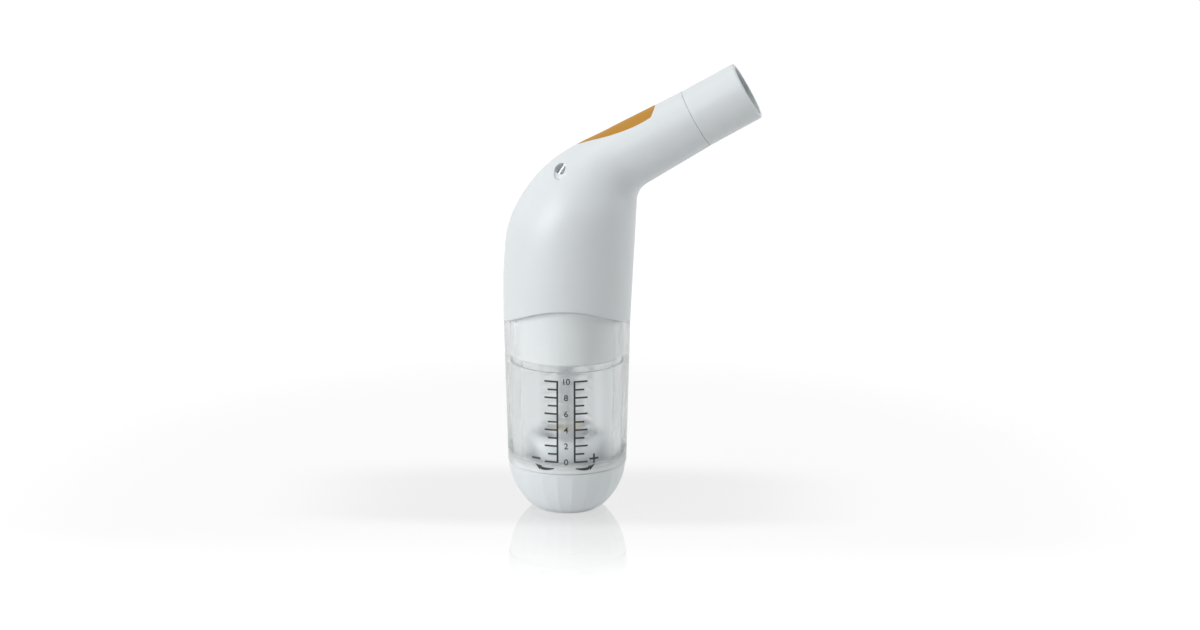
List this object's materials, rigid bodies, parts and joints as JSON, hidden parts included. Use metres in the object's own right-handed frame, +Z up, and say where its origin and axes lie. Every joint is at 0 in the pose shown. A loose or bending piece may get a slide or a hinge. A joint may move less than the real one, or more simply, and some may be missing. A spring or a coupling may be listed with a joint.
{
  "type": "breathing trainer",
  "caption": "Hand-held breathing trainer: bent white head with mouth tube, clear load chamber with printed scale, spring-loaded inlet valve and a turning load knob.",
  "frame": {"origin": "centre of the knob's flat foot, on the surface that the part stands on", "axes": "+Z up along the body's axis; the mouth tube leans to +X; the printed scale faces -Y"},
  "size_m": [0.0935, 0.0472, 0.1654],
  "materials": {
    "shell_white": "satin",
    "inlay_orange": "satin",
    "clear": "gloss",
    "inner_white": "satin",
    "knob_grey": "satin",
    "silicone": "matte",
    "steel": "satin",
    "spring_steel": "gloss",
    "brass": "satin"
  },
  "bodies": {
    "body": {"chamber": "clear", "chamber_seal": "silicone", "spindle_guide": "inner_white", "valve_body": "inner_white", "head_seal": "silicone", "seat_gasket": "silicone", "spring_cup_upper": "spring_steel", "retaining_ring": "spring_steel", "knob_friction_ring": "silicone", "load_spring": "spring_steel"},
    "cover": {"head_cover": "shell_white", "grip_inlay": "inlay_orange", "lanyard_pin": "steel"},
    "mouth": {"mouth_tube": "shell_white", "tube_seal": "silicone"},
    "knob": {"tension_knob": "knob_grey", "knob_socket": "brass"},
    "valve": {"poppet": "inner_white", "flap_retainer": "inner_white"},
    "flap": {"exhale_flap": "silicone"},
    "screw": {"spindle": "steel", "spindle_clip": "spring_steel", "thrust_washer": "brass"},
    "nut": {"load_nut": "inner_white", "nut_insert": "brass", "spring_cup_lower": "spring_steel"}
  },
  "joints": [
    {"name": "knob_turn", "type": "hinge", "parent": "body", "child": "knob", "pos_m": [0, 0, 0.01], "axis": [0, 0, 1], "range_deg": [0, 3600]},
    {"name": "cover_pull", "type": "slide", "parent": "body", "child": "cover", "axis": [0, 0, 1], "range_m": [0, 0.025]},
    {"name": "mouth_tube_pull", "type": "slide", "parent": "cover", "child": "mouth", "axis": [0.8704, 0, 0.4924], "range_m": [0, 0.015]},
    {"name": "valve_lift", "type": "slide", "parent": "body", "child": "valve", "axis": [0, 0, 1], "range_m": [0, 0.004], "stiffness_N_per_m": 75, "springref_m": -0.003},
    {"name": "exhale_flap_lift", "type": "slide", "parent": "valve", "child": "flap", "axis": [0, 0, -1], "range_m": [0, 0.0015], "stiffness_N_per_m": 30, "springref_m": -0.0005},
    {"name": "spindle_turn", "type": "hinge", "parent": "valve", "child": "screw", "pos_m": [0, 0, 0.05], "axis": [0, 0, 1], "range_deg": [0, 3600]},
    {"name": "nut_travel", "type": "slide", "parent": "valve", "child": "nut", "axis": [0, 0, 1], "range_m": [0, 0.0305], "deforming": ["load_spring"]}
  ],
  "couplings": [
    {"joint": "spindle_turn", "follows": "knob_turn", "ratio": 1},
    {"joint": "nut_travel", "follows": "knob_turn", "m_per_rad": 0.00048542}
  ]
}
